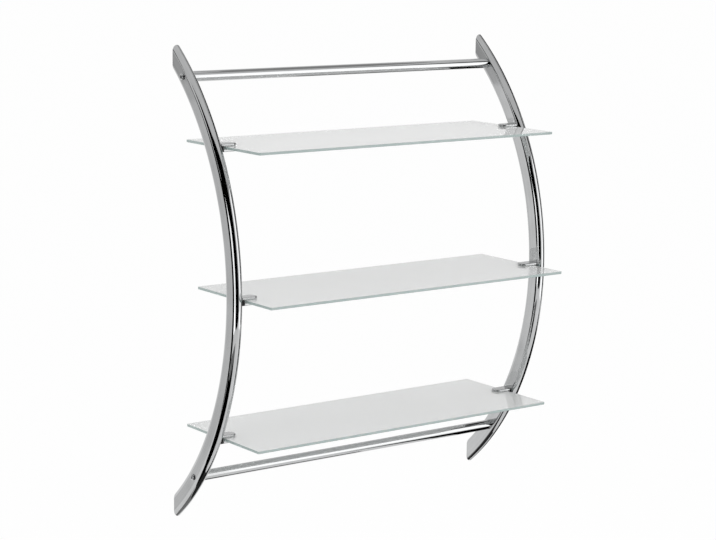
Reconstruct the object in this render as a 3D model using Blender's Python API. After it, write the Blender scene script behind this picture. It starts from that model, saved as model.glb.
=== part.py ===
"""Wall shelf: three frosted glass shelves clamped between two bowed oval tubes and two round rails.

Metres, +Z up, the wall is the plane Y = 0 and the front is -Y.
The origin lies on the wall, midway between the uprights and at the height of their greatest bow.
"""
import math

import bmesh
import bpy

# Glass shelves
SHELF_LENGTH = 0.560
SHELF_DEPTH = 0.200
GLASS_THICKNESS = 0.004
GLASS_CORNER = 0.0020
GLASS_ARRIS = 0.0004
SHELF_PITCH = 0.221
MIDDLE_SHELF_TOP = 0.002
OUTER_SHELF_BACK = 0.004
MIDDLE_SHELF_BACK = 0.036

# Bowed uprights, flat oval tube
ARC_RADIUS = 0.456
ARC_BOW = 0.159
TUBE_WIDTH = 0.015
TUBE_DEPTH = 0.030
TUBE_WALL = 0.0015
SHELF_GAP = 0.006
ARC_STATIONS = 37
OVAL_STEPS = 8

# Round rails and their fixings
RAIL_DIAMETER = 0.016
RAIL_WALL = 0.001
UPPER_RAIL_SETBACK = 0.026
LOWER_RAIL_SETBACK = 0.057
INSERT_LENGTH = 0.018
RAIL_SCREW_DIAMETER = 0.006
RAIL_SCREW_REACH = 0.014
RAIL_HEAD_DIAMETER = 0.010
RAIL_HEAD_HEIGHT = 0.0024
RAIL_SOCKET = 0.004
RAIL_SOCKET_DEPTH = 0.0014

# Clamp clips
CLIP_REACH = 0.030
CLIP_WIDTH = 0.019
CLIP_WEB = 0.0018
CLIP_TIP_CORNER = 0.0090
CLIP_BACK_CORNER = 0.0010
CLIP_EDGE = 0.0008
UPPER_JAW = 0.0031
LOWER_JAW = 0.0034
PAD_THICKNESS = 0.0006
PAD_MARGIN = 0.0008
SPACER_MARGIN = 0.0003
SPACER_LEG = 0.0020
STUD_DIAMETER = 0.004
STUD_HEAD_DIAMETER = 0.0062
STUD_HEAD_HEIGHT = 0.0014
STUD_IN_TUBE = 0.007
CLAMP_SCREW_DIAMETER = 0.004
CLAMP_SCREW_SETBACK = 0.009
CLAMP_SCREW_PROUD = 0.0008
CLAMP_SOCKET = 0.0020
CLAMP_SOCKET_DEPTH = 0.0015

# Wall plates in the mouths of the uprights
PLATE_THICKNESS = 0.003
KEYHOLE_ENTRY = 0.008
KEYHOLE_SLOT = 0.0044
KEYHOLE_DROP = 0.0090

# Clearances, and how far a cutting tool runs past what it cuts
FIT_GAP = 0.0002
HOLE_PLAY = 0.0004
TOOL_OVERRUN = 0.004

# Values that follow from the ones above
ARC_CENTRE_Y = ARC_RADIUS - ARC_BOW
ARC_END = math.sqrt(ARC_RADIUS ** 2 - ARC_CENTRE_Y ** 2)
UPPER_RAIL_HEIGHT = ARC_END - UPPER_RAIL_SETBACK
LOWER_RAIL_HEIGHT = LOWER_RAIL_SETBACK - ARC_END
INNER_FACE = SHELF_LENGTH / 2 + SHELF_GAP
UPRIGHT_X = INNER_FACE + TUBE_WIDTH / 2
OUTER_FACE = INNER_FACE + TUBE_WIDTH
MIDDLE_SHELF_MID = MIDDLE_SHELF_TOP - GLASS_THICKNESS / 2
WEB_START = FIT_GAP
WEB_END = WEB_START + CLIP_WEB
SPACER_START = WEB_END + FIT_GAP
SPACER_END = SHELF_GAP - PAD_THICKNESS - 2 * FIT_GAP
NOTCH_END = SPACER_END + FIT_GAP
SLOT_HALF = GLASS_THICKNESS / 2 + PAD_THICKNESS + 2 * FIT_GAP

CHROME = ((0.86, 0.87, 0.88), 0.07, 1.0)
SATIN_GLASS = ((0.80, 0.86, 0.84), 0.32, 0.0)
ZINC = ((0.62, 0.63, 0.64), 0.35, 1.0)
STEEL = ((0.55, 0.56, 0.57), 0.30, 1.0)
RUBBER = ((0.025, 0.025, 0.027), 0.70, 0.0)
CLEAR_PAD = ((0.62, 0.68, 0.66), 0.35, 0.0)


def arc_depth(height):
    """Y of the uprights' centre line at a height."""
    return ARC_CENTRE_Y - math.sqrt(ARC_RADIUS ** 2 - height ** 2)


def add_part(name, bm, finish):
    """Close a bmesh into a named object with a material of its own."""
    bmesh.ops.recalc_face_normals(bm, faces=bm.faces)
    mesh = bpy.data.meshes.new(name)
    bm.to_mesh(mesh)
    bm.free()
    obj = bpy.data.objects.new(name, mesh)
    bpy.context.scene.collection.objects.link(obj)
    colour, roughness, metallic = finish
    material = bpy.data.materials.new(name + "_finish")
    material.use_nodes = True
    shader = material.node_tree.nodes["Principled BSDF"]
    shader.inputs["Base Color"].default_value = (*colour, 1.0)
    shader.inputs["Roughness"].default_value = roughness
    shader.inputs["Metallic"].default_value = metallic
    mesh.materials.append(material)
    return obj


def cut(obj, bm):
    """Take the solid in bm out of an object."""
    bmesh.ops.recalc_face_normals(bm, faces=bm.faces)
    tool_mesh = bpy.data.meshes.new("tool")
    bm.to_mesh(tool_mesh)
    bm.free()
    tool = bpy.data.objects.new("tool", tool_mesh)
    bpy.context.scene.collection.objects.link(tool)
    tool.hide_render = True
    tool.display_type = "WIRE"
    modifier = obj.modifiers.new("cut", "BOOLEAN")
    modifier.operation = "DIFFERENCE"
    modifier.solver = "EXACT"
    modifier.object = tool
    bpy.context.view_layer.update()
    graph = bpy.context.evaluated_depsgraph_get()
    result = bpy.data.meshes.new_from_object(obj.evaluated_get(graph))
    obj.modifiers.clear()
    obj.data = result
    bpy.data.objects.remove(tool)


def stack_loops(loops):
    """Solid from equal loops of points, capped at both ends."""
    bm = bmesh.new()
    rings = [[bm.verts.new(p) for p in loop] for loop in loops]
    count = len(rings[0])
    for low, high in zip(rings, rings[1:]):
        for i in range(count):
            j = (i + 1) % count
            bm.faces.new((low[i], low[j], high[j], high[i]))
    bm.faces.new(rings[0])
    bm.faces.new(rings[-1])
    return bm


def ring_loops(loops):
    """Solid from equal loops of points joined into a closed ring of loops."""
    bm = bmesh.new()
    rings = [[bm.verts.new(p) for p in loop] for loop in loops]
    count = len(rings[0])
    for low, high in zip(rings, rings[1:] + rings[:1]):
        for i in range(count):
            j = (i + 1) % count
            bm.faces.new((low[i], low[j], high[j], high[i]))
    return bm


def circle(radius, along, steps, origin, axis):
    """Circle around a line through origin in X or Z, at a distance along it."""
    points = []
    for i in range(steps):
        angle = 2 * math.pi * (i + 0.5) / steps
        a, b = radius * math.cos(angle), radius * math.sin(angle)
        offset = (along, a, b) if axis == "X" else (a, b, along)
        points.append(tuple(o + d for o, d in zip(origin, offset)))
    return points


def turned(profile, steps, origin, axis):
    """Solid turned from (radius, distance) pairs given from one end to the other."""
    return stack_loops([circle(r, u, steps, origin, axis) for r, u in profile])


def turned_ring(profile, steps, origin, axis):
    """Ring turned from a closed chain of (radius, distance) pairs."""
    return ring_loops([circle(r, u, steps, origin, axis) for r, u in profile])


def rounded_rectangle(x0, x1, y0, y1, near_radius, far_radius, steps):
    """Outline with one corner radius at x0 and another at x1."""
    corners = (
        (x1, y1, far_radius, 0.0),
        (x0, y1, near_radius, 0.5),
        (x0, y0, near_radius, 1.0),
        (x1, y0, far_radius, 1.5),
    )
    points = []
    for x, y, radius, turn in corners:
        cx = x - radius if x == x1 else x + radius
        cy = y - radius if y == y1 else y + radius
        for i in range(steps + 1):
            angle = math.pi * (turn + 0.5 * i / steps)
            points.append((cx + radius * math.cos(angle), cy + radius * math.sin(angle)))
    return points


def slab(box, radii, edge, edge_steps, steps):
    """Rounded plate with eased upper and lower edges; box is x0, x1, y0, y1, z0, z1."""
    x0, x1, y0, y1, z0, z1 = box
    levels = []
    for i in range(edge_steps + 1):
        angle = 0.5 * math.pi * i / edge_steps
        levels.append((edge * (1 - math.sin(angle)), edge * (1 - math.cos(angle))))
    rows = [(z0 + rise, inset) for inset, rise in levels]
    rows += [(z1 - rise, inset) for inset, rise in reversed(levels)]
    loops = []
    for z, inset in rows:
        outline = rounded_rectangle(x0 + inset, x1 - inset, y0 + inset, y1 - inset,
                                    radii[0] - inset, radii[1] - inset, steps)
        loops.append([(x, y, z) for x, y in outline])
    return stack_loops(loops)


def mirror_x(bm, side):
    """Turn a solid built on the +X side over to the given side."""
    for vert in bm.verts:
        vert.co.x *= side
    return bm


def oval(width, depth):
    """Flat oval outline as (sideways, outward) pairs."""
    radius = width / 2
    straight = (depth - width) / 2
    points = []
    for end in (1, -1):
        for i in range(OVAL_STEPS + 1):
            angle = math.pi * i / OVAL_STEPS
            points.append((end * radius * math.cos(angle), end * (straight + radius * math.sin(angle))))
    return points


def swept_oval(width, depth):
    """Oval swept along the arc, each strand ending in the wall plane."""
    loops = []
    for k in range(ARC_STATIONS):
        share = 2 * k / (ARC_STATIONS - 1) - 1
        loop = []
        for sideways, outward in oval(width, depth):
            radius = ARC_RADIUS + outward
            angle = share * math.acos(ARC_CENTRE_Y / radius)
            y = ARC_CENTRE_Y - radius * math.cos(angle)
            if k in (0, ARC_STATIONS - 1):
                y = 0.0
            loop.append((UPRIGHT_X + sideways, y, radius * math.sin(angle)))
        loops.append(loop)
    return loops


def hex_socket(across, start, end, origin, axis):
    """Six-sided recess tool."""
    return turned([(across / math.sqrt(3), start), (across / math.sqrt(3), end)], 6, origin, axis)


def make_upright(label, side):
    """One bowed tube with its screw and stud holes."""
    outer = swept_oval(TUBE_WIDTH, TUBE_DEPTH)
    inner = swept_oval(TUBE_WIDTH - 2 * TUBE_WALL, TUBE_DEPTH - 2 * TUBE_WALL)
    obj = add_part(label + "_upright", mirror_x(ring_loops(outer + inner[::-1]), side), CHROME)
    for height in (UPPER_RAIL_HEIGHT, LOWER_RAIL_HEIGHT):
        radius = (RAIL_SCREW_DIAMETER + HOLE_PLAY) / 2
        axis_point = (0.0, arc_depth(height), height)
        ends = [(radius, INNER_FACE - TOOL_OVERRUN), (radius, OUTER_FACE + TOOL_OVERRUN)]
        cut(obj, mirror_x(turned(ends, 16, axis_point, "X"), side))
    for middle in shelf_middles():
        radius = (STUD_DIAMETER + HOLE_PLAY) / 2
        axis_point = (0.0, arc_depth(middle), middle)
        ends = [(radius, INNER_FACE - TOOL_OVERRUN), (radius, INNER_FACE + TUBE_WIDTH / 2)]
        cut(obj, mirror_x(turned(ends, 16, axis_point, "X"), side))


def shelf_middles():
    """Mid-plane heights of the top, middle and bottom shelf."""
    return (MIDDLE_SHELF_MID + SHELF_PITCH, MIDDLE_SHELF_MID, MIDDLE_SHELF_MID - SHELF_PITCH)


def make_rail(label, height):
    """Round rail with an insert and a screw at each end."""
    outer = RAIL_DIAMETER / 2
    bore = outer - RAIL_WALL
    end = INNER_FACE - FIT_GAP
    line = (0.0, arc_depth(height), height)
    profile = [(outer, -end), (outer, end), (bore, end), (bore, -end)]
    add_part(label + "_rail", turned_ring(profile, 32, line, "X"), CHROME)
    screw = RAIL_SCREW_DIAMETER / 2
    hole = screw + HOLE_PLAY / 2
    head = RAIL_HEAD_DIAMETER / 2
    face = OUTER_FACE + FIT_GAP
    crown = face + RAIL_HEAD_HEIGHT
    for hand, side in (("left", -1), ("right", 1)):
        plug = bore - FIT_GAP
        start = end - INSERT_LENGTH
        ring = [(plug, start), (plug, end), (hole, end), (hole, start)]
        sleeve = mirror_x(turned_ring(ring, 24, line, "X"), side)
        add_part("%s_rail_%s_insert" % (label, hand), sleeve, STEEL)
        tip = end - RAIL_SCREW_REACH
        chain = [
            (screw * 0.75, tip),
            (screw, tip + screw * 0.25),
            (screw, face),
            (head, face),
            (head, crown - RAIL_HEAD_HEIGHT * 0.6),
            (head * 0.86, crown - RAIL_HEAD_HEIGHT * 0.2),
            (head * 0.62, crown),
        ]
        bolt = mirror_x(turned(chain, 20, line, "X"), side)
        obj = add_part("%s_rail_%s_screw" % (label, hand), bolt, CHROME)
        tool = hex_socket(RAIL_SOCKET, crown - RAIL_SOCKET_DEPTH, crown + TOOL_OVERRUN, line, "X")
        cut(obj, mirror_x(tool, side))


def make_shelf(label, middle, back):
    """Flat glass shelf with small corner radii and eased edges."""
    box = (-SHELF_LENGTH / 2, SHELF_LENGTH / 2, -back - SHELF_DEPTH, -back,
           middle - GLASS_THICKNESS / 2, middle + GLASS_THICKNESS / 2)
    add_part(label + "_shelf", slab(box, (GLASS_CORNER, GLASS_CORNER), GLASS_ARRIS, 1, 4), SATIN_GLASS)


def make_clip(label, middle, side):
    """Clamp clip: two-jawed body, clear pad, set screw, countersunk stud and rubber spacer."""
    line = (0.0, arc_depth(middle), middle)
    centre_y = line[1]
    tip = INNER_FACE - CLIP_REACH
    web_outer = INNER_FACE - WEB_START
    web_inner = INNER_FACE - WEB_END
    half = CLIP_WIDTH / 2
    top = middle + SLOT_HALF + UPPER_JAW
    bottom = middle - SLOT_HALF - LOWER_JAW
    box = (tip, web_outer, centre_y - half, centre_y + half, bottom, top)
    body = slab(box, (CLIP_TIP_CORNER, CLIP_BACK_CORNER), CLIP_EDGE, 2, 4)
    obj = add_part(label + "_clip", mirror_x(body, side), CHROME)
    slot = box_solid(tip - TOOL_OVERRUN, web_inner, centre_y - half - TOOL_OVERRUN,
                     centre_y + half + TOOL_OVERRUN, middle - SLOT_HALF, middle + SLOT_HALF)
    cut(obj, mirror_x(slot, side))

    # Notches beside the web for the spacer's legs, with a little relief under the upper jaw
    foot = half - SPACER_LEG
    past = half + TOOL_OVERRUN
    for y0, y1 in ((centre_y - past, centre_y - foot), (centre_y + foot, centre_y + past)):
        notch = box_solid(INNER_FACE - NOTCH_END, INNER_FACE + TOOL_OVERRUN, y0, y1,
                          bottom - TOOL_OVERRUN, middle + SLOT_HALF + FIT_GAP)
        cut(obj, mirror_x(notch, side))

    # Countersunk stud through the web, and its hole with play all round
    stud = STUD_DIAMETER / 2
    head = STUD_HEAD_DIAMETER / 2
    play = HOLE_PLAY / 2
    neck = web_inner + STUD_HEAD_HEIGHT
    hole = [
        (head + play, web_inner - FIT_GAP),
        (head + play, web_inner),
        (stud + play, neck),
        (stud + play, web_outer + TOOL_OVERRUN),
    ]
    cut(obj, mirror_x(turned(hole, 16, line, "X"), side))
    rod = [(head, web_inner), (stud, neck), (stud, INNER_FACE + STUD_IN_TUBE)]
    add_part(label + "_clip_stud", mirror_x(turned(rod, 16, line, "X"), side), STEEL)

    # Set screw from below, with a socket
    clamp = CLAMP_SCREW_DIAMETER / 2
    clamp_line = (tip + CLAMP_SCREW_SETBACK, centre_y, 0.0)
    hole = [(clamp + play, bottom - TOOL_OVERRUN), (clamp + play, middle)]
    cut(obj, mirror_x(turned(hole, 16, clamp_line, "Z"), side))
    under = bottom - CLAMP_SCREW_PROUD
    chain = [(clamp * 0.85, under), (clamp, under + clamp * 0.15), (clamp, middle - SLOT_HALF)]
    screw = add_part(label + "_clip_screw", mirror_x(turned(chain, 16, clamp_line, "Z"), side), STEEL)
    tool = hex_socket(CLAMP_SOCKET, under - TOOL_OVERRUN, under + CLAMP_SOCKET_DEPTH, clamp_line, "Z")
    cut(screw, mirror_x(tool, side))

    # Clear pad folded around the end of the glass, with the outline of the jaws
    pad_near = INNER_FACE - SPACER_END - FIT_GAP
    pad_half = half - PAD_MARGIN
    high = SLOT_HALF - FIT_GAP
    low = high - PAD_THICKNESS
    outline = rounded_rectangle(tip + PAD_MARGIN, pad_near, centre_y - pad_half, centre_y + pad_half,
                                CLIP_TIP_CORNER - PAD_MARGIN, PAD_THICKNESS / 2, 3)
    loops = [[(x, y, z) for x, y in outline] for z in (middle - high, middle + high)]
    pad = add_part(label + "_clip_pad", mirror_x(stack_loops(loops), side), CLEAR_PAD)
    room = box_solid(tip - TOOL_OVERRUN, pad_near - PAD_THICKNESS, centre_y - past, centre_y + past,
                     middle - low, middle + low)
    cut(pad, mirror_x(room, side))

    # Rubber spacer in the bottom of the slot, over the stud's head, with a leg on each side of the web
    deep = SLOT_HALF - FIT_GAP
    wide = half - SPACER_MARGIN
    block = box_solid(INNER_FACE - SPACER_END, INNER_FACE - FIT_GAP, centre_y - wide, centre_y + wide,
                      bottom + SPACER_MARGIN, middle + deep)
    spacer = add_part(label + "_clip_spacer", mirror_x(block, side), RUBBER)
    above, below = middle + deep + TOOL_OVERRUN, bottom - TOOL_OVERRUN
    beyond = SPACER_END + TOOL_OVERRUN
    outline = [(-TOOL_OVERRUN, above), (SPACER_START, above), (SPACER_START, middle - deep),
               (beyond, middle - deep), (beyond, below), (-TOOL_OVERRUN, below)]
    loops = [[(INNER_FACE - x, y, z) for x, z in outline]
             for y in (centre_y - foot - FIT_GAP, centre_y + foot + FIT_GAP)]
    cut(spacer, mirror_x(stack_loops(loops), side))


def box_solid(x0, x1, y0, y1, z0, z1):
    """Plain box."""
    loop = [(x0, y0), (x1, y0), (x1, y1), (x0, y1)]
    return stack_loops([[(x, y, z) for x, y in loop] for z in (z0, z1)])


def plate_loop(depth, end):
    """Outline of a wall plate at a depth from the wall, at the upper or lower end."""
    width = TUBE_WIDTH - 2 * TUBE_WALL - 2 * FIT_GAP
    height = TUBE_DEPTH - 2 * TUBE_WALL - 2 * FIT_GAP
    loop = []
    for sideways, outward in oval(width, height):
        reach = (ARC_RADIUS + outward) ** 2 - (ARC_CENTRE_Y + depth) ** 2
        loop.append((UPRIGHT_X + sideways, -depth, end * math.sqrt(reach)))
    return loop


def make_wall_plate(label, hand, side, end):
    """Plate closing the mouth of a tube: keyhole at the top, round hole at the bottom."""
    back = plate_loop(0.0, end)
    front = plate_loop(PLATE_THICKNESS, end)
    obj = add_part("%s_%s_wall_plate" % (label, hand), mirror_x(stack_loops([back, front]), side), ZINC)
    heights = [p[2] for p in back + front]
    centre = (min(heights) + max(heights)) / 2
    slot = KEYHOLE_SLOT / 2
    entry = KEYHOLE_ENTRY / 2
    outline = []
    if end > 0:
        rise = centre + KEYHOLE_DROP / 2
        floor = centre - KEYHOLE_DROP / 2
        for i in range(9):
            angle = math.pi * i / 8
            outline.append((slot * math.cos(angle), rise + slot * math.sin(angle)))
        start = math.pi / 2 + math.asin(slot / entry)
        for i in range(15):
            angle = start + (2 * math.pi - 2 * math.asin(slot / entry)) * i / 14
            outline.append((entry * math.cos(angle), floor + entry * math.sin(angle)))
    else:
        for i in range(16):
            angle = 2 * math.pi * (i + 0.5) / 16
            outline.append((slot * math.cos(angle), centre + slot * math.sin(angle)))
    cut_from, cut_to = TOOL_OVERRUN, -PLATE_THICKNESS - TOOL_OVERRUN
    loops = [[(UPRIGHT_X + x, y, z) for x, z in outline] for y in (cut_from, cut_to)]
    cut(obj, mirror_x(stack_loops(loops), side))


for item in list(bpy.data.objects):
    bpy.data.objects.remove(item)

for hand, side in (("left", -1), ("right", 1)):
    make_upright(hand, side)
    make_wall_plate("upper", hand, side, 1)
    make_wall_plate("lower", hand, side, -1)

make_rail("upper", UPPER_RAIL_HEIGHT)
make_rail("lower", LOWER_RAIL_HEIGHT)

shelf_backs = (OUTER_SHELF_BACK, MIDDLE_SHELF_BACK, OUTER_SHELF_BACK)
for label, middle, back in zip(("top", "middle", "bottom"), shelf_middles(), shelf_backs):
    make_shelf(label, middle, back)
    make_clip(label + "_left", middle, -1)
    make_clip(label + "_right", middle, 1)
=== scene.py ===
"""Looks of the glass wall shelf: chrome uprights and rails, satin glass shelves and clamp clips.

Metres, +Z up, the wall is the plane Y = 0 and the front is -Y.
"""

import math

import bmesh
import bpy
from mathutils import Matrix, Vector


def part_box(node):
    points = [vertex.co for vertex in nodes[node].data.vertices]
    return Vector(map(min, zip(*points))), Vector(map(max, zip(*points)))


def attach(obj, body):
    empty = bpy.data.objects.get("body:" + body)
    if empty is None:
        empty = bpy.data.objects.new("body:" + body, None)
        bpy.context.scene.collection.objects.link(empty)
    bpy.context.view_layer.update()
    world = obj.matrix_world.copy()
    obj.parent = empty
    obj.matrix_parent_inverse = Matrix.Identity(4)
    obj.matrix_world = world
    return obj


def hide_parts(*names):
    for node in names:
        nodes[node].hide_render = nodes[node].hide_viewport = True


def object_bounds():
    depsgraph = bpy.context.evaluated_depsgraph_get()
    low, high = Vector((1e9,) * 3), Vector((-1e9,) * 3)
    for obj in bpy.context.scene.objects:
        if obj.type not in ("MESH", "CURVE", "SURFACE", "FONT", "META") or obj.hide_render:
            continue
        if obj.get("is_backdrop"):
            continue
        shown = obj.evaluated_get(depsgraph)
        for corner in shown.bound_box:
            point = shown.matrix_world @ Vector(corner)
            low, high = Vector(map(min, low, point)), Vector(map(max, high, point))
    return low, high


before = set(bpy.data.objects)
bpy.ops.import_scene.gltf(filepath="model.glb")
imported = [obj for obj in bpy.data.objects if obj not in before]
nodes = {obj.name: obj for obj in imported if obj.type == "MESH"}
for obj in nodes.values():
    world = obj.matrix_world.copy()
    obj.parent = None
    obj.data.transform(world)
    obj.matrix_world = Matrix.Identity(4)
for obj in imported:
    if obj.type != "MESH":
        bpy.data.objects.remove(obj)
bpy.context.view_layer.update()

HANDS = (("left", -1), ("right", 1))
RAILS = ("upper", "lower")
SHELVES = ("top", "middle", "bottom")

# Sizes of the part that the finer pieces repeat
SHELF_LENGTH = 0.560
SHELF_GAP = 0.006
GLASS_CORNER = 0.0020
GLASS_ARRIS = 0.0004
ARC_RADIUS = 0.456
ARC_BOW = 0.159
TUBE_WIDTH = 0.015
TUBE_DEPTH = 0.030
TUBE_WALL = 0.0015
RAIL_DIAMETER = 0.016
RAIL_WALL = 0.001
RAIL_SCREW_DIAMETER = 0.006
RAIL_HEAD_DIAMETER = 0.010
RAIL_HEAD_HEIGHT = 0.0024
RAIL_SOCKET = 0.004
RAIL_SOCKET_DEPTH = 0.0014
CLIP_TIP_CORNER = 0.0090
CLIP_BACK_CORNER = 0.0014
CLIP_WEB = 0.0018
SLOT_HALF = 0.0030
SPACER_LEG = 0.0020
PAD_THICKNESS = 0.0006
FIT_GAP = 0.0002
ARC_CENTRE_Y = ARC_RADIUS - ARC_BOW
INNER_FACE = SHELF_LENGTH / 2 + SHELF_GAP
OUTER_FACE = INNER_FACE + TUBE_WIDTH
UPRIGHT_X = INNER_FACE + TUBE_WIDTH / 2
NOTCH_END = SHELF_GAP - PAD_THICKNESS - FIT_GAP

# Fine trim of the visible meshes; shares are of a radius or a height, angles in degrees
RAIL_END_EASE = 0.0003
POINT_SHARE = 0.25
HEAD_FOOT_EASE = 0.0002
DOME_SHARE = 0.55
DOME_FLAT_SHARE = 0.62
CLIP_EDGE = 0.0013
SCREW_EASE = 0.00012
SCREW_EASE_ANGLE = 50
CLIP_EASE = 0.00025
CLIP_EASE_ANGLE = 40
EASE_SEGMENTS = 2
SHARP_ANGLE = 32
EASED_SHARP_ANGLE = 38

# Fineness of the visible meshes
ARC_STATIONS = 161
OVAL_STEPS = 28
FLAT_SUPPORTS = (0.94, 0.5, 0.0, -0.5, -0.94)
RAIL_STEPS = 96
SCREW_STEPS = 48
DOME_STEPS = 8
SOCKET_SIDES = 6
HOLE_STEPS = 32
ARRIS_STEPS = 3
GLASS_CORNER_STEPS = 8
CLIP_EDGE_STEPS = 4
CLIP_CORNER_STEPS = 10

# How far the cutting solids reach past what they cut
TOOL_OVERRUN = 0.010
BORE_OVERRUN = 0.004


def add_object(name, data):
    """New object in the scene."""
    obj = bpy.data.objects.new(name, data)
    bpy.context.scene.collection.objects.link(obj)
    return obj


def mesh_of(name, bm):
    """Mesh from a bmesh, with its faces turned outward."""
    bmesh.ops.recalc_face_normals(bm, faces=bm.faces)
    mesh = bpy.data.meshes.new(name)
    bm.to_mesh(mesh)
    bm.free()
    return mesh


def piece(name, bm):
    """Named object from a bmesh, smooth except at sharp edges."""
    mesh = mesh_of(name, bm)
    mesh.shade_smooth()
    mesh.set_sharp_from_angle(angle=math.radians(SHARP_ANGLE))
    return add_object(name, mesh)


def dress(obj, node, slot, *materials):
    """Put a finer piece in the place of a CAD node."""
    for material in materials:
        obj.data.materials.append(material)
    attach(obj, "root")
    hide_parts(node)


def midpoint(low, high):
    """Middle of a box."""
    return [(a + b) / 2 for a, b in zip(low, high)]


def loft(loops, closed=False):
    """Solid through equal loops of points, capped unless the loops close on themselves."""
    bm = bmesh.new()
    rings = [[bm.verts.new(p) for p in loop] for loop in loops]
    pairs = list(zip(rings, rings[1:]))
    if closed:
        pairs.append((rings[-1], rings[0]))
    count = len(rings[0])
    for low, high in pairs:
        for i in range(count):
            j = (i + 1) % count
            bm.faces.new((low[i], low[j], high[j], high[i]))
    if not closed:
        bm.faces.new(rings[0])
        bm.faces.new(rings[-1])
    return bm


def turned(profile, steps, origin, axis, side=1, closed=False):
    """Solid turned about a line in X or Z from (radius, distance) pairs."""
    loops = []
    for radius, along in profile:
        loop = []
        for i in range(steps):
            angle = 2 * math.pi * (i + 0.5) / steps
            a, b = radius * math.cos(angle), radius * math.sin(angle)
            if axis == "X":
                loop.append((side * along, origin[1] + a, origin[2] + b))
            else:
                loop.append((origin[0] + a, origin[1] + b, along))
        loops.append(loop)
    return loft(loops, closed)


def apply_modifiers(obj):
    """Turn an object's modifiers into its mesh."""
    bpy.context.view_layer.update()
    graph = bpy.context.evaluated_depsgraph_get()
    mesh = bpy.data.meshes.new_from_object(obj.evaluated_get(graph))
    obj.modifiers.clear()
    old = obj.data
    obj.data = mesh
    bpy.data.meshes.remove(old)
    mesh.name = obj.name


def cut(obj, bm):
    """Take the solid in bm out of an object's mesh."""
    tool_mesh = mesh_of("tool", bm)
    tool = add_object("tool", tool_mesh)
    modifier = obj.modifiers.new("cut", "BOOLEAN")
    modifier.operation = "DIFFERENCE"
    modifier.solver = "EXACT"
    modifier.object = tool
    apply_modifiers(obj)
    bpy.data.objects.remove(tool)
    bpy.data.meshes.remove(tool_mesh)


def ease(obj, width, angle):
    """Round the edges that are sharper than the angle, then set smooth shading."""
    modifier = obj.modifiers.new("ease", "BEVEL")
    modifier.width = width
    modifier.segments = EASE_SEGMENTS
    modifier.limit_method = "ANGLE"
    modifier.angle_limit = math.radians(angle)
    modifier.use_clamp_overlap = True
    apply_modifiers(obj)
    obj.data.shade_smooth()
    obj.data.set_sharp_from_angle(angle=math.radians(EASED_SHARP_ANGLE))
    weight = obj.modifiers.new("weight", "WEIGHTED_NORMAL")
    weight.keep_sharp = True
    apply_modifiers(obj)


# Node helpers for the materials

# Range that most noise values lie in
NOISE_LOW = 0.3
NOISE_HIGH = 0.7


def start(name, metallic=0.0):
    """Principled material with its node tree and shader."""
    material = bpy.data.materials.new(name)
    material.use_nodes = True
    tree = material.node_tree
    shader = tree.nodes["Principled BSDF"]
    shader.inputs["Metallic"].default_value = metallic
    return material, tree, shader


def stretched(tree, vector, scale):
    """Vector times a scale."""
    mapping = tree.nodes.new("ShaderNodeMapping")
    mapping.inputs["Scale"].default_value = scale
    tree.links.new(vector, mapping.inputs["Vector"])
    return mapping.outputs["Vector"]


def coordinates(tree, scale=(1, 1, 1)):
    """Object coordinates stretched by a scale."""
    source = tree.nodes.new("ShaderNodeTexCoord")
    return stretched(tree, source.outputs["Object"], scale)


def bow_coordinates(tree, scale):
    """Sideways place, distance from the bow's centre and height, stretched by a scale."""
    source = tree.nodes.new("ShaderNodeTexCoord")
    shift = tree.nodes.new("ShaderNodeVectorMath")
    shift.inputs[1].default_value = (0.0, -ARC_CENTRE_Y, 0.0)
    flat = tree.nodes.new("ShaderNodeVectorMath")
    flat.operation = "MULTIPLY"
    flat.inputs[1].default_value = (0.0, 1.0, 1.0)
    radius = tree.nodes.new("ShaderNodeVectorMath")
    radius.operation = "LENGTH"
    split = tree.nodes.new("ShaderNodeSeparateXYZ")
    joined = tree.nodes.new("ShaderNodeCombineXYZ")
    tree.links.new(source.outputs["Object"], shift.inputs[0])
    tree.links.new(shift.outputs["Vector"], flat.inputs[0])
    tree.links.new(flat.outputs["Vector"], radius.inputs[0])
    tree.links.new(source.outputs["Object"], split.inputs["Vector"])
    tree.links.new(split.outputs["X"], joined.inputs["X"])
    tree.links.new(radius.outputs["Value"], joined.inputs["Y"])
    tree.links.new(split.outputs["Z"], joined.inputs["Z"])
    return stretched(tree, joined.outputs["Vector"], scale)


def noise(tree, vector, scale, detail, rough):
    """Noise value at a scale."""
    node = tree.nodes.new("ShaderNodeTexNoise")
    node.inputs["Scale"].default_value = scale
    node.inputs["Detail"].default_value = detail
    node.inputs["Roughness"].default_value = rough
    tree.links.new(vector, node.inputs["Vector"])
    return node.outputs["Fac"]


def calculate(tree, operation, *values):
    """Result of a math operation on sockets and plain numbers."""
    node = tree.nodes.new("ShaderNodeMath")
    node.operation = operation
    for socket, value in zip(node.inputs, values):
        if isinstance(value, float):
            socket.default_value = value
        else:
            tree.links.new(value, socket)
    return node.outputs[0]


def ramp(tree, value, first, last):
    """Colour ramp between two (position, colour) stops."""
    node = tree.nodes.new("ShaderNodeValToRGB")
    for element, (position, colour) in zip(node.color_ramp.elements, (first, last)):
        element.position = position
        element.color = (*colour, 1.0)
    tree.links.new(value, node.inputs["Fac"])
    return node.outputs["Color"]


def paint(tree, shader, colour, grain, rough):
    """Give a shader its colour, and a roughness that a noise value spreads over a range."""
    node = tree.nodes.new("ShaderNodeMapRange")
    node.inputs["From Min"].default_value = NOISE_LOW
    node.inputs["From Max"].default_value = NOISE_HIGH
    node.inputs["To Min"].default_value, node.inputs["To Max"].default_value = rough
    tree.links.new(grain, node.inputs["Value"])
    tree.links.new(node.outputs["Result"], shader.inputs["Roughness"])
    tree.links.new(colour, shader.inputs["Base Color"])


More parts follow.
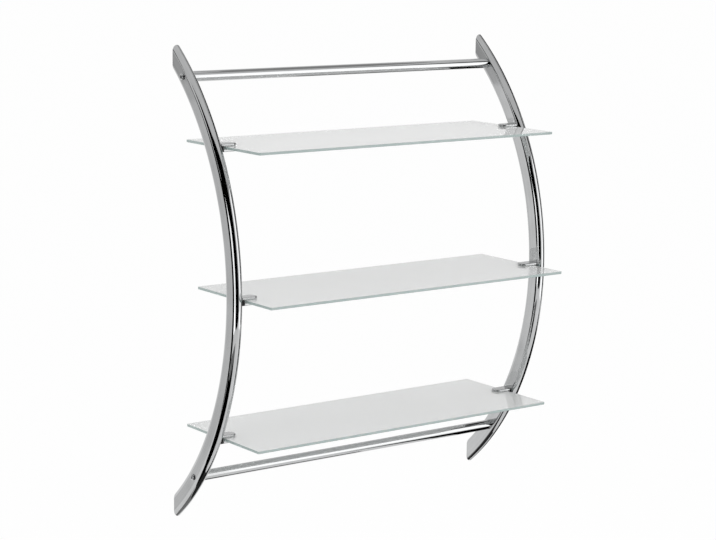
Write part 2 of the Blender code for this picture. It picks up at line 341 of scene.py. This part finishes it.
def bump(tree, shader, height, strength, distance):
    """Fine relief on a shader."""
    node = tree.nodes.new("ShaderNodeBump")
    node.inputs["Strength"].default_value = strength
    node.inputs["Distance"].default_value = distance
    tree.links.new(height, node.inputs["Height"])
    tree.links.new(node.outputs["Normal"], shader.inputs["Normal"])


# Materials

CHROME_TONE = (0.520, 0.526, 0.530)
CLIP_TONE = (0.450, 0.456, 0.460)
GLASS_IOR = 1.50
PLASTIC_IOR = 1.45
SATIN_TRANSMISSION = 0.30
EDGE_TRANSMISSION = 0.10
PAD_TRANSMISSION = 0.25
LINE_SHARE = 0.5
HAZE_SHARE = 0.5


def chrome(name, stretch, tone, place=coordinates, rough=(0.030, 0.062), streak=0.035):
    """Polished chrome with faint haze and polishing lines along the piece."""
    material, tree, shader = start(name, metallic=1.0)
    lines = noise(tree, place(tree, stretch), scale=1.0, detail=4.0, rough=0.6)
    haze = noise(tree, coordinates(tree), scale=22.0, detail=3.0, rough=0.55)
    dimmed = calculate(tree, "MULTIPLY", haze, HAZE_SHARE)
    mixed = calculate(tree, "MULTIPLY_ADD", lines, LINE_SHARE, dimmed)
    low = tuple(c * (1 - streak) for c in tone)
    high = tuple(c * (1 + streak) for c in tone)
    paint(tree, shader, ramp(tree, mixed, (0.38, low), (0.62, high)), lines, rough)
    bump(tree, shader, lines, strength=0.004, distance=0.0004)
    return material


def satin_top():
    """Polished upper face over a milky body."""
    material, tree, shader = start("satin_glass_top")
    cloud = noise(tree, coordinates(tree), scale=9.0, detail=3.0, rough=0.5)
    grain = noise(tree, coordinates(tree), scale=2600.0, detail=2.0, rough=0.6)
    body = ramp(tree, cloud, (0.30, (0.872, 0.880, 0.878)), (0.70, (0.888, 0.894, 0.892)))
    paint(tree, shader, body, grain, rough=(0.42, 0.55))
    shader.inputs["Specular IOR Level"].default_value = 0.10
    shader.inputs["Transmission Weight"].default_value = SATIN_TRANSMISSION
    shader.inputs["IOR"].default_value = GLASS_IOR
    shader.inputs["Coat Weight"].default_value = 1.0
    shader.inputs["Coat Roughness"].default_value = 0.05
    shader.inputs["Coat IOR"].default_value = GLASS_IOR
    return material


def satin_under():
    """Etched lower face, matt with a fine grain."""
    material, tree, shader = start("satin_glass_under")
    cloud = noise(tree, coordinates(tree), scale=9.0, detail=3.0, rough=0.5)
    grain = noise(tree, coordinates(tree), scale=1900.0, detail=3.0, rough=0.65)
    body = ramp(tree, cloud, (0.30, (0.840, 0.862, 0.856)), (0.70, (0.862, 0.880, 0.875)))
    paint(tree, shader, body, grain, rough=(0.46, 0.62))
    shader.inputs["Transmission Weight"].default_value = SATIN_TRANSMISSION
    shader.inputs["IOR"].default_value = GLASS_IOR
    bump(tree, shader, grain, strength=0.10, distance=0.0001)
    return material


def glass_edge():
    """Ground and polished edge with the green of float glass."""
    material, tree, shader = start("glass_edge")
    lines = noise(tree, coordinates(tree, (6, 6, 1400)), scale=1.0, detail=3.0, rough=0.6)
    depth = noise(tree, coordinates(tree), scale=60.0, detail=2.0, rough=0.5)
    tint = ramp(tree, depth, (0.32, (0.318, 0.382, 0.372)), (0.68, (0.358, 0.420, 0.410)))
    paint(tree, shader, tint, lines, rough=(0.10, 0.26))
    shader.inputs["Transmission Weight"].default_value = EDGE_TRANSMISSION
    shader.inputs["IOR"].default_value = GLASS_IOR
    bump(tree, shader, lines, strength=0.05, distance=0.0001)
    return material


def zinc():
    """Zinc plated sheet with a soft spangle."""
    material, tree, shader = start("zinc_sheet", metallic=1.0)
    cells = tree.nodes.new("ShaderNodeTexVoronoi")
    cells.inputs["Scale"].default_value = 420.0
    tree.links.new(coordinates(tree), cells.inputs["Vector"])
    grain = noise(tree, coordinates(tree), scale=900.0, detail=4.0, rough=0.6)
    tone = ramp(tree, cells.outputs["Color"],
                (0.2, (0.46, 0.48, 0.50)), (0.8, (0.60, 0.615, 0.62)))
    paint(tree, shader, tone, grain, rough=(0.28, 0.46))
    bump(tree, shader, grain, strength=0.08, distance=0.0002)
    return material


def steel():
    """Bright plated screw steel with turning marks."""
    material, tree, shader = start("screw_steel", metallic=1.0)
    marks = noise(tree, coordinates(tree), scale=1500.0, detail=3.0, rough=0.6)
    blotch = noise(tree, coordinates(tree), scale=240.0, detail=2.0, rough=0.5)
    tone = ramp(tree, blotch, (0.3, (0.44, 0.45, 0.46)), (0.7, (0.55, 0.56, 0.57)))
    paint(tree, shader, tone, marks, rough=(0.22, 0.38))
    bump(tree, shader, marks, strength=0.08, distance=0.0001)
    return material


def rubber_and_painted_reflection():
    """Matt black rubber with a fine grain; its near-black is partly painted reflection, standing in
    for the dark that the clip's chrome web mirrors.
    """
    material, tree, shader = start("black_rubber_and_painted_reflection")
    grain = noise(tree, coordinates(tree), scale=2200.0, detail=3.0, rough=0.6)
    cloud = noise(tree, coordinates(tree), scale=180.0, detail=2.0, rough=0.5)
    # Near-black tone: the spacer's own black, and painted reflection of the dark mirrored in the
    # clip's chrome web
    tone = ramp(tree, cloud, (0.3, (0.008, 0.008, 0.009)), (0.7, (0.016, 0.016, 0.017)))
    paint(tree, shader, tone, grain, rough=(0.52, 0.72))
    shader.inputs["Specular IOR Level"].default_value = 0.25
    bump(tree, shader, grain, strength=0.20, distance=0.0001)
    return material


def clear_pad():
    """Clear soft plastic with faint flow marks."""
    material, tree, shader = start("clear_plastic")
    cloud = noise(tree, coordinates(tree), scale=160.0, detail=3.0, rough=0.5)
    tone = ramp(tree, cloud, (0.3, (0.80, 0.86, 0.84)), (0.7, (0.86, 0.90, 0.89)))
    paint(tree, shader, tone, cloud, rough=(0.28, 0.42))
    shader.inputs["Transmission Weight"].default_value = PAD_TRANSMISSION
    shader.inputs["IOR"].default_value = PLASTIC_IOR
    return material


upright_chrome = chrome("upright_chrome", (420, 420, 5), CHROME_TONE, bow_coordinates, streak=0.075)
rail_chrome = chrome("rail_chrome", (5, 700, 700), CHROME_TONE)
clip_chrome = chrome("clip_chrome", (120, 900, 900), CLIP_TONE, rough=(0.20, 0.28))
screw_chrome = chrome("screw_chrome", (300, 300, 300), CHROME_TONE)
top_glass = satin_top()
under_glass = satin_under()
edge_glass = glass_edge()
zinc_sheet = zinc()
screw_steel = steel()
black_rubber_and_painted_reflection = rubber_and_painted_reflection()
clear_plastic = clear_pad()


# Bowed uprights

def oval(width, depth):
    """Flat oval outline as (sideways, outward) pairs, with support points on its flats."""
    radius = width / 2
    straight = (depth - width) / 2
    points = []
    for end in (1, -1):
        for i in range(OVAL_STEPS + 1):
            angle = math.pi * i / OVAL_STEPS
            outward = straight + radius * math.sin(angle)
            points.append((end * radius * math.cos(angle), end * outward))
        for share in FLAT_SUPPORTS:
            points.append((-end * radius, end * straight * share))
    return points


def swept(width, depth, side):
    """Oval loops along the arc, each strand ending in the wall plane."""
    loops = []
    for k in range(ARC_STATIONS):
        share = 2 * k / (ARC_STATIONS - 1) - 1
        loop = []
        for sideways, outward in oval(width, depth):
            radius = ARC_RADIUS + outward
            angle = share * math.acos(ARC_CENTRE_Y / radius)
            y = ARC_CENTRE_Y - radius * math.cos(angle)
            if k in (0, ARC_STATIONS - 1):
                y = 0.0
            loop.append((side * (UPRIGHT_X + sideways), y, radius * math.sin(angle)))
        loops.append(loop)
    return loops


for hand, side in HANDS:
    outer = swept(TUBE_WIDTH, TUBE_DEPTH, side)
    inner = swept(TUBE_WIDTH - 2 * TUBE_WALL, TUBE_DEPTH - 2 * TUBE_WALL, side)
    tube = piece(hand + "_bowed_tube", loft(outer + inner[::-1], closed=True))
    dress(tube, hand + "_upright", "chrome_tube", upright_chrome)


# Rails and their screws

for label in RAILS:
    line = midpoint(*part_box(label + "_rail"))
    end = INNER_FACE - FIT_GAP
    outer = RAIL_DIAMETER / 2
    eased = outer - RAIL_END_EASE
    bore = outer - RAIL_WALL
    profile = [(outer, -end + RAIL_END_EASE), (outer, end - RAIL_END_EASE), (eased, end),
               (bore, end), (bore, -end), (eased, -end)]
    rail = piece(label + "_round_rail", turned(profile, RAIL_STEPS, line, "X", closed=True))
    dress(rail, label + "_rail", "chrome_tube", rail_chrome)
    for hand, side in HANDS:
        node = "%s_rail_%s_screw" % (label, hand)
        low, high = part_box(node)
        tip = min(abs(low[0]), abs(high[0]))
        face = OUTER_FACE + FIT_GAP
        crown = face + RAIL_HEAD_HEIGHT
        shank = RAIL_SCREW_DIAMETER / 2
        head = RAIL_HEAD_DIAMETER / 2
        dome = RAIL_HEAD_HEIGHT * DOME_SHARE
        profile = [(shank * (1 - POINT_SHARE), tip), (shank, tip + shank * POINT_SHARE),
                   (shank, face), (head - HEAD_FOOT_EASE, face), (head, face + HEAD_FOOT_EASE),
                   (head, crown - dome)]
        for i in range(1, DOME_STEPS + 1):
            angle = 0.5 * math.pi * i / DOME_STEPS
            radius = head * (DOME_FLAT_SHARE + (1 - DOME_FLAT_SHARE) * math.cos(angle))
            profile.append((radius, crown - dome * (1 - math.sin(angle))))
        screw = piece(node + "_head", turned(profile, SCREW_STEPS, line, "X", side))
        corner = RAIL_SOCKET / math.sqrt(3)
        socket = [(corner, crown - RAIL_SOCKET_DEPTH), (corner, crown + BORE_OVERRUN)]
        cut(screw, turned(socket, SOCKET_SIDES, line, "X", side))
        ease(screw, SCREW_EASE, SCREW_EASE_ANGLE)
        dress(screw, node, "chrome_fixing", screw_chrome)


# Glass shelves

# Order of a shelf's materials, and the upward part of a normal that makes a face level
TOP_FACE, UNDER_FACE, EDGE_FACE = range(3)
LEVEL_NORMAL = 0.9


def rounded(x0, x1, y0, y1, near, far, steps):
    """Rectangle outline with one corner radius at x0 and another at x1."""
    corners = ((x1, y1, far, 0.0), (x0, y1, near, 0.5), (x0, y0, near, 1.0), (x1, y0, far, 1.5))
    points = []
    for x, y, radius, turn in corners:
        cx = x - radius if x == x1 else x + radius
        cy = y - radius if y == y1 else y + radius
        for i in range(steps + 1):
            angle = math.pi * (turn + 0.5 * i / steps)
            points.append((cx + radius * math.cos(angle), cy + radius * math.sin(angle)))
    return points


def plate(box, near, far, edge, edge_steps, steps):
    """Rounded plate with eased upper and lower edges; box is two corners."""
    (x0, y0, z0), (x1, y1, z1) = box
    rows = []
    for i in range(edge_steps + 1):
        angle = 0.5 * math.pi * i / edge_steps
        rows.append((edge * (1 - math.sin(angle)), edge * (1 - math.cos(angle))))
    levels = [(z0 + rise, inset) for inset, rise in rows]
    levels += [(z1 - rise, inset) for inset, rise in reversed(rows)]
    loops = []
    for z, inset in levels:
        outline = rounded(x0 + inset, x1 - inset, y0 + inset, y1 - inset,
                          near - inset, far - inset, steps)
        loops.append([(x, y, z) for x, y in outline])
    return loft(loops)


for label in SHELVES:
    node = label + "_shelf"
    shelf = piece(label + "_glass", plate(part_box(node), GLASS_CORNER, GLASS_CORNER, GLASS_ARRIS,
                                          ARRIS_STEPS, GLASS_CORNER_STEPS))
    for polygon in shelf.data.polygons:
        rise = polygon.normal.z
        polygon.material_index = EDGE_FACE
        if abs(rise) > LEVEL_NORMAL:
            polygon.material_index = TOP_FACE if rise > 0 else UNDER_FACE
            polygon.use_smooth = False
    dress(shelf, node, "satin_glass", top_glass, under_glass, edge_glass)


# Clamp clips

def block(x0, x1, y0, y1, z0, z1):
    """Plain box."""
    outline = ((x0, y0), (x1, y0), (x1, y1), (x0, y1))
    return loft([[(x, y, z) for x, y in outline] for z in (z0, z1)])


def mirrored(bm, side):
    """Turn a solid built on the +X side over to the given side."""
    for vert in bm.verts:
        vert.co.x *= side
    return bm


for label in SHELVES:
    middle = midpoint(*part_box(label + "_shelf"))[2]
    for hand, side in HANDS:
        node = "%s_%s_clip" % (label, hand)
        low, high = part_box(node)
        tip = min(abs(low[0]), abs(high[0]))
        back = max(abs(low[0]), abs(high[0]))
        box = ((tip, low[1], low[2]), (back, high[1], high[2]))
        body = plate(box, CLIP_TIP_CORNER, CLIP_BACK_CORNER, CLIP_EDGE,
                     CLIP_EDGE_STEPS, CLIP_CORNER_STEPS)
        clip = piece(node + "_body", mirrored(body, side))
        front, rear = low[1] - TOOL_OVERRUN, high[1] + TOOL_OVERRUN
        slot = block(tip - TOOL_OVERRUN, back - CLIP_WEB, front, rear,
                     middle - SLOT_HALF, middle + SLOT_HALF)
        cut(clip, mirrored(slot, side))
        for y0, y1 in ((front, low[1] + SPACER_LEG), (high[1] - SPACER_LEG, rear)):
            notch = block(INNER_FACE - NOTCH_END, INNER_FACE + TOOL_OVERRUN, y0, y1,
                          low[2] - TOOL_OVERRUN, middle + SLOT_HALF)
            cut(clip, mirrored(notch, side))
        low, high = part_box(node + "_screw")
        hole = (high[0] - low[0]) / 2 + FIT_GAP
        bore = [(hole, low[2] - BORE_OVERRUN), (hole, middle)]
        cut(clip, turned(bore, HOLE_STEPS, midpoint(low, high), "Z"))
        ease(clip, CLIP_EASE, CLIP_EASE_ANGLE)
        dress(clip, node, "chrome_fixing", clip_chrome)


# The other nodes keep their shape and take a finer finish

# The clip spacers' black is partly painted reflection: it stands in for the dark that the chrome
# clip web mirrors beside the upright.
FINISHES = (("_clip_pad", clear_plastic), ("_clip_spacer", black_rubber_and_painted_reflection),
            ("_clip_screw", screw_steel), ("_clip_stud", screw_steel),
            ("_insert", screw_steel), ("_wall_plate", zinc_sheet))
for name, obj in nodes.items():
    for ending, material in FINISHES:
        if name.endswith(ending):
            obj.data.materials.clear()
            obj.data.materials.append(material)


# Floor and surroundings

WHITE = (1.0, 1.0, 1.0, 1.0)
FLOOR_TONE = (0.86, 0.86, 0.86, 1.0)
FLOOR_GLOW = 0.92
FLOOR_HEIGHT = -0.90
FLOOR_HALF = 30.0
CEILING_HEIGHT = 2.6
CEILING_HALF = 7.0
CEILING_DROP = 0.02
CARD_LIFT = 0.002
CARD_STEP = 0.001
MIRROR_SHARE = 0.5
WORLD_STRENGTH = 1.0
WORLD_IN_MIRRORS = 0.85


def background_share(tree):
    """Share of the white floor that a ray shows: all to camera and glass, less to mirrors."""
    path = tree.nodes.new("ShaderNodeLightPath")
    in_mirrors = calculate(tree, "MULTIPLY", path.outputs["Is Glossy Ray"], MIRROR_SHARE)
    direct = calculate(tree, "MAXIMUM", path.outputs["Is Camera Ray"],
                       path.outputs["Is Transmission Ray"])
    return calculate(tree, "MAXIMUM", direct, in_mirrors)


def bare(name):
    """Material with only an output, its node tree and its surface socket."""
    material = bpy.data.materials.new(name)
    material.use_nodes = True
    tree = material.node_tree
    tree.nodes.clear()
    output = tree.nodes.new("ShaderNodeOutputMaterial")
    return material, tree, output.inputs["Surface"]


def glow(tree, strength):
    """White light of a strength."""
    node = tree.nodes.new("ShaderNodeEmission")
    node.inputs["Color"].default_value = WHITE
    node.inputs["Strength"].default_value = strength
    return node.outputs[0]


def floor_material():
    """Pale matt floor that shows white and keeps a soft shadow."""
    material, tree, surface = bare("pale_floor")
    matt = tree.nodes.new("ShaderNodeBsdfDiffuse")
    matt.inputs["Color"].default_value = FLOOR_TONE
    pale = tree.nodes.new("ShaderNodeMixShader")
    pale.inputs["Fac"].default_value = FLOOR_GLOW
    tree.links.new(matt.outputs[0], pale.inputs[1])
    tree.links.new(glow(tree, strength=1.0), pale.inputs[2])
    choice = tree.nodes.new("ShaderNodeMixShader")
    tree.links.new(background_share(tree), choice.inputs["Fac"])
    tree.links.new(matt.outputs[0], choice.inputs[1])
    tree.links.new(pale.outputs[0], choice.inputs[2])
    tree.links.new(choice.outputs[0], surface)
    return material


def panel(name, corners, material):
    """Flat stage panel from its corners."""
    mesh = bpy.data.meshes.new(name)
    mesh.from_pydata(corners, [], [tuple(range(len(corners)))])
    mesh.materials.append(material)
    obj = add_object(name, mesh)
    obj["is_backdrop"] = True
    return obj


def card(name, level, corners):
    """Matt card that only mirrors see, as a studio sets around polished metal."""
    material, tree, surface = bare(name + "_face")
    tree.links.new(glow(tree, level), surface)
    sheet = panel(name, corners, material)
    sheet.visible_camera = False
    sheet.visible_diffuse = False
    sheet.visible_transmission = False
    sheet.visible_shadow = False


def level_sheet(x0, x1, y0, y1, z):
    """Corners of a level rectangle."""
    return [(x0, y0, z), (x1, y0, z), (x1, y1, z), (x0, y1, z)]


def upright_sheet(first, last, low, high):
    """Corners of an upright rectangle between two points of the plan."""
    return [(*first, low), (*last, low), (*last, high), (*first, high)]


def wall(heading, distance, left, right, high):
    """Corners of an upright rectangle on the floor, across a heading in degrees from +Y to +X."""
    h = math.radians(heading)
    out = Vector((math.sin(h), math.cos(h))) * distance
    across = Vector((math.cos(h), -math.sin(h)))
    return upright_sheet(out + left * across, out + right * across, FLOOR_HEIGHT, high)


def floor_sheet(*points, layer=0):
    """Corners of a card that lies on the floor; a higher layer covers a lower one."""
    z = FLOOR_HEIGHT + CARD_LIFT + layer * CARD_STEP
    return [(x, y, z) for x, y in points]


# Cards by name, brightness and corners; the chrome mirrors them as its grey and black bands
CARDS = (
    ("grey_ceiling", 0.77,
     level_sheet(-CEILING_HALF, CEILING_HALF, -CEILING_HALF, CEILING_HALF, CEILING_HEIGHT)),
    ("dark_ceiling_right", 0.35,
     level_sheet(1.2, 1.95, -1.3, 1.2, CEILING_HEIGHT - CEILING_DROP)),
    ("grey_right", 0.75, wall(92, 4.0, -1.8, 3.0, CEILING_HEIGHT)),
    ("grey_right_front", 0.42, wall(166, 3.6, -0.9, 0.9, 2.4)),
    ("black_right_back", 0.04, wall(50, 3.7, -0.8, 0.8, 0.3)),
    ("black_behind_camera", 0.0, wall(-150, 2.7, -1.40, 9.0, 2.5)),
    ("black_left_strip", 0.0, wall(-65.6, 2.47, -1.01, 1.01, 0.40)),
    ("black_left_high", 0.0,
     [(-1.30, 0.24, 0.34), (-1.30, -0.80, 0.34), (-1.30, -0.80, 1.15), (-1.30, 0.24, 0.85)]),
    ("black_right_band", 0.0, upright_sheet((2.82, -0.50), (2.30, -1.70), FLOOR_HEIGHT, 1.3)),
    ("black_right_high", 0.03,
     [(2.30, -2.60, 2.35), (2.30, 1.50, 2.35), (3.10, 1.50, 1.60), (3.10, -2.60, 1.60)]),
    ("dark_left_floor", 0.22,
     floor_sheet((-2.60, 0.50), (-2.50, -0.10), (-2.10, -0.95), (-1.60, -1.60), (-1.20, -1.62),
                 (-0.80, -0.95), (-0.80, -0.55))),
    ("black_left_floor", 0.0,
     floor_sheet((-2.45, 0.60), (-1.72, -0.38), (-1.50, -0.95), (-1.28, -1.22), (-1.02, -1.12),
                 (-0.72, -0.80), (-0.55, -0.45), (-0.48, -0.21), (-0.56, -0.02), (-1.08, 0.25),
                 (-1.90, 1.25), layer=1)),
    ("black_right_edge", 0.0, upright_sheet((1.08, 0.52), (1.45, 0.19), FLOOR_HEIGHT, 0.25)),
    ("grey_floor_below", 0.25,
     floor_sheet((-0.66, 0.02), (-0.10, -0.03), (0.15, 0.08), (0.15, 0.24), (-0.10, 0.20),
                 (-0.45, 0.14))),
    ("dark_floor_below", 0.03,
     floor_sheet((-0.56, -0.02), (-0.48, -0.21), (0.44, -0.14), (0.44, 0.10), (0.00, 0.10),
                 (-0.20, 0.00), layer=1)),
    ("grey_left_back", 0.73,
     [(-2.985, 3.74, FLOOR_HEIGHT), (-2.69, 3.74, 0.10), (-2.60, 3.74, 0.60), (-2.20, 3.74, 0.60),
      (-2.20, 3.74, FLOOR_HEIGHT)]),
    ("black_right_up", 0.0, upright_sheet((3.33, 1.65), (3.78, 0.266), 0.25, 2.10)),
    ("dark_left_up", 0.20,
     [(-1.90, 1.50, 0.72), (-1.90, 0.90, 0.72), (-1.90, 0.90, 1.40), (-1.90, 1.50, 1.30)]),
    ("dark_left_back", 0.50, upright_sheet((-3.30, 3.72), (-2.20, 3.72), -0.06, 0.60)),
    ("grey_left_back_low", 0.64, upright_sheet((-3.30, 3.72), (-2.20, 3.72), -0.13, -0.06)),
    ("grey_back_floor", 0.76,
     floor_sheet((-1.09, 1.40), (-1.17, 1.588), (-1.50, 1.933), (-1.86, 2.469), (-2.10, 2.90),
                 (-2.55, 3.74), (-2.985, 3.74), (-2.31, 2.90), (-2.02, 2.469), (-1.68, 1.97),
                 (-1.44, 1.65), (-1.36, 1.40))),
    ("black_back_floor", 0.0,
     floor_sheet((0.66, -0.02), (1.30, -0.02), (2.30, -0.25), (2.90, 1.60), (1.90, 1.60),
                 (1.75, 0.95), (0.95, 0.95))),
    ("black_right_floor", 0.0,
     floor_sheet((0.62, -0.80), (1.70, -1.30), (2.30, -1.50), (2.30, -0.25), (1.30, -0.02),
                 (0.62, -0.02))),
)

panel("floor", level_sheet(-FLOOR_HALF, FLOOR_HALF, -FLOOR_HALF, FLOOR_HALF, FLOOR_HEIGHT),
      floor_material())
for name, brightness, corners in CARDS:
    card(name, brightness, corners)


# Light

def softbox(name, heading, elevation, distance, width, height, radiance, in_mirrors=True):
    """Area lamp that faces the object from a direction, set by how bright its surface is."""
    h, e = math.radians(heading), math.radians(elevation)
    out = Vector((math.sin(h) * math.cos(e), math.cos(h) * math.cos(e), math.sin(e)))
    data = bpy.data.lights.new(name, "AREA")
    data.shape = "RECTANGLE"
    data.size = width
    data.size_y = height
    data.energy = radiance * math.pi * width * height
    lamp = add_object(name, data)
    lamp.location = out * distance
    lamp.rotation_mode = "QUATERNION"
    lamp.rotation_quaternion = out.to_track_quat("Z", "Y")
    lamp.visible_camera = False
    lamp.visible_glossy = in_mirrors
    lamp.visible_transmission = False


softbox("left_strip", heading=-102, elevation=-3, distance=2.4,
        width=1.2, height=1.1, radiance=1.8)
softbox("right_front_box", heading=152, elevation=4, distance=2.33,
        width=1.70, height=2.2, radiance=1.05)
softbox("overhead_box", heading=200, elevation=78, distance=2.5,
        width=2.2, height=2.2, radiance=0.27, in_mirrors=False)

world = bpy.data.worlds.new("studio")
world.use_nodes = True
bpy.context.scene.world = world
tree = world.node_tree
back = tree.nodes["Background"]
back.inputs["Color"].default_value = WHITE
path = tree.nodes.new("ShaderNodeLightPath")
shade = tree.nodes.new("ShaderNodeMapRange")
shade.inputs["To Min"].default_value = WORLD_STRENGTH
shade.inputs["To Max"].default_value = WORLD_IN_MIRRORS
tree.links.new(path.outputs["Is Glossy Ray"], shade.inputs["Value"])
tree.links.new(shade.outputs["Result"], back.inputs["Strength"])


# Camera at the photograph's viewing angle

CAMERA_PLACE = Vector((-1.91112, -2.65249, 0.57434))
CAMERA_YAW = math.radians(36.4604)
CAMERA_PITCH = math.radians(10.0330)
CAMERA_ROLL = math.radians(-0.7196)
CAMERA_LENS = 103.637
CAMERA_SENSOR = 36.0
CAMERA_REACH = 100.0

ahead = Vector((math.sin(CAMERA_YAW) * math.cos(CAMERA_PITCH),
                math.cos(CAMERA_YAW) * math.cos(CAMERA_PITCH), -math.sin(CAMERA_PITCH)))
level = Vector((math.cos(CAMERA_YAW), -math.sin(CAMERA_YAW), 0.0))
down = ahead.cross(level)
right = math.cos(CAMERA_ROLL) * level + math.sin(CAMERA_ROLL) * down
under = math.cos(CAMERA_ROLL) * down - math.sin(CAMERA_ROLL) * level
data = bpy.data.cameras.new("camera")
data.sensor_fit = "HORIZONTAL"
data.sensor_width = CAMERA_SENSOR
data.lens = CAMERA_LENS
data.clip_end = CAMERA_REACH
camera = add_object("camera", data)
turn = Matrix((right, -under, -ahead)).transposed()
camera.matrix_world = Matrix.Translation(CAMERA_PLACE) @ turn.to_4x4()
bpy.context.scene.camera = camera
bpy.context.scene.view_settings.view_transform = "Standard"

low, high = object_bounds()
